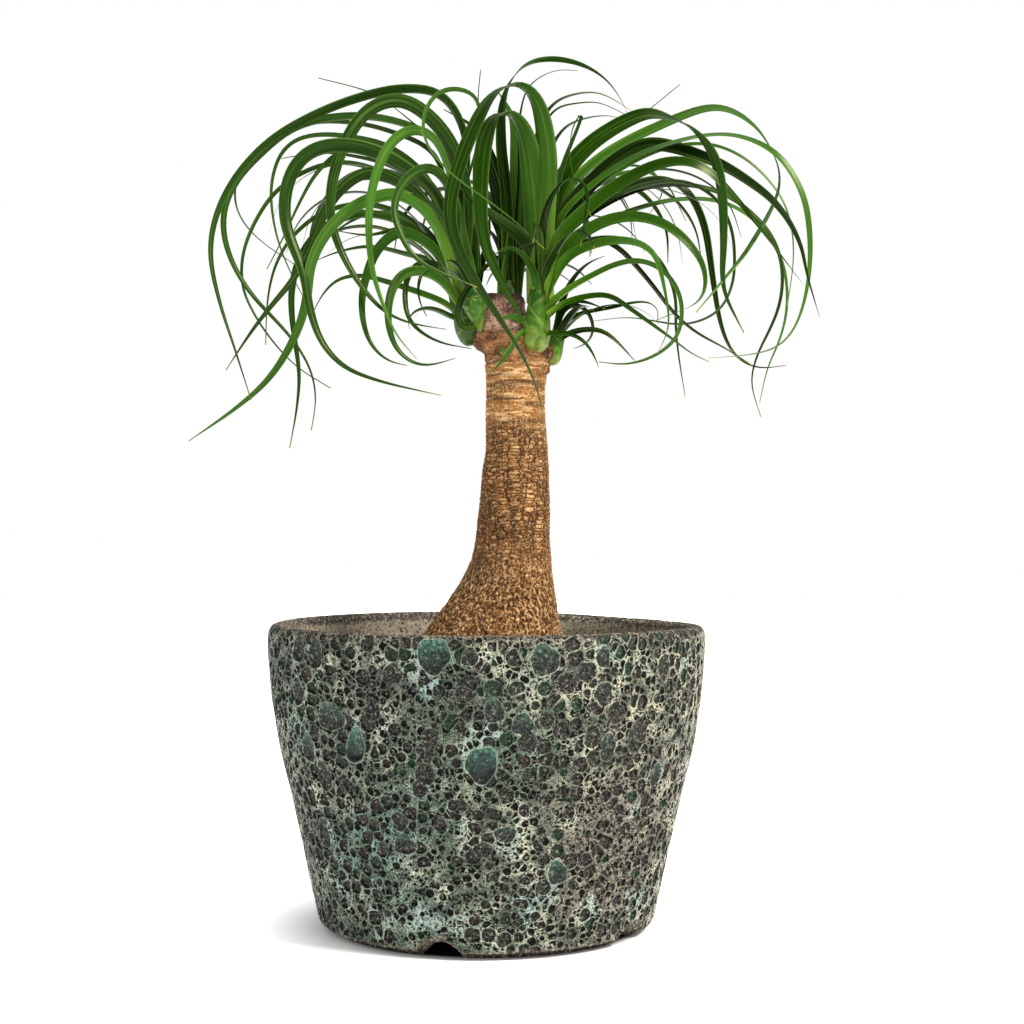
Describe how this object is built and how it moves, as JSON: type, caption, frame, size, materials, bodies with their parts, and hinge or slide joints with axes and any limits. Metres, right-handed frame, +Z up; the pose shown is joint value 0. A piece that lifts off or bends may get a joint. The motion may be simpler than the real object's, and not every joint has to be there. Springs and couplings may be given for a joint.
{
  "type": "potted ponytail palm",
  "caption": "Ponytail palm with a swollen corky trunk and arching strap leaves, standing in soil in a round lava-glazed ceramic pot.",
  "frame": {"origin": "centre of the pot's foot, on the surface that the pot stands on", "axes": "+Z up along the pot, -Y towards the front, +X to the right as seen from the front"},
  "size_m": [0.5091, 0.364, 0.7307],
  "materials": {
    "lava_glaze": "cratered lava glaze, charcoal pits in a cream-green net with teal pools, satin",
    "potting_soil": "loose dark potting soil of composted bark and peat, matt",
    "bark": "corky tan bark with leaf-scar rings above and fine cracks on the swollen base, matt",
    "leaf": "tough living strap leaf, deep green with lengthwise veins, satin"
  },
  "bodies": {
    "root": {"pot": "lava_glaze", "soil": "potting_soil", "trunk": "bark", "leaf_head_left": "leaf", "leaf_head_front": "leaf", "leaf_head_right": "leaf", "leaf_head_side": "leaf", "leaf_head_back": "leaf"}
  },
  "joints": []
}
